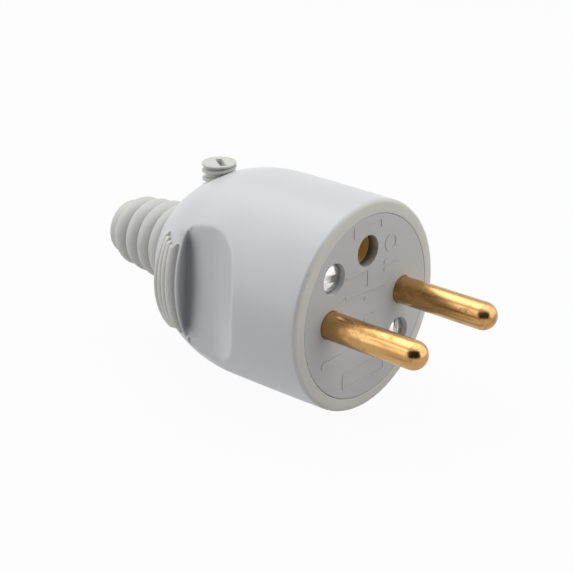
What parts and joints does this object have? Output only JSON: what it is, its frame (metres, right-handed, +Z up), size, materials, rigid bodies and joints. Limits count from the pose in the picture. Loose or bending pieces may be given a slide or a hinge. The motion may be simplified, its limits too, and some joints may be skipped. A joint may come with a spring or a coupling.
{
  "type": "two-pin mains plug",
  "caption": "Round-bodied mains plug with two live pins, a recessed earth contact hole, finger scoops, a screwed contact carrier, a cable clamp screw and a ribbed bend sleeve.",
  "frame": {"origin": "centre of the contact face, midway between the two pins", "axes": "-Y out of the contact face along the pins, +Z up to the earth contact, +X to the right seen from the pins with the earth contact up"},
  "size_m": [0.037, 0.0765, 0.037],
  "materials": {
    "housing_plastic": "light cool grey moulded plastic, soft gloss",
    "carrier_plastic": "mid grey moulded plastic, satin",
    "contact_brass": "turned brass, slightly tarnished",
    "plated_steel": "bright zinc plate",
    "clamp_plastic": "pale grey moulded plastic",
    "sleeve_rubber": "warm off-white soft plastic, matte"
  },
  "bodies": {
    "plug_body": {"housing": "housing_plastic", "contact_carrier": "carrier_plastic", "contact_retainer": "carrier_plastic", "left_pin": "contact_brass", "right_pin": "contact_brass", "earth_socket": "contact_brass", "earth_spring_ring": "plated_steel", "left_terminal_screw": "plated_steel", "right_terminal_screw": "plated_steel", "earth_terminal_screw": "plated_steel", "upper_face_screw": "plated_steel", "lower_face_screw": "plated_steel", "upper_screw_insert": "contact_brass", "lower_screw_insert": "contact_brass", "bend_sleeve": "sleeve_rubber"},
    "clamp_screw": {"cable_clamp_screw": "clamp_plastic"}
  },
  "joints": [
    {"name": "clamp_screw_travel", "type": "slide", "parent": "plug_body", "child": "clamp_screw", "axis": [0, 0, 1], "range_m": [-0.006, 0.002]}
  ]
}
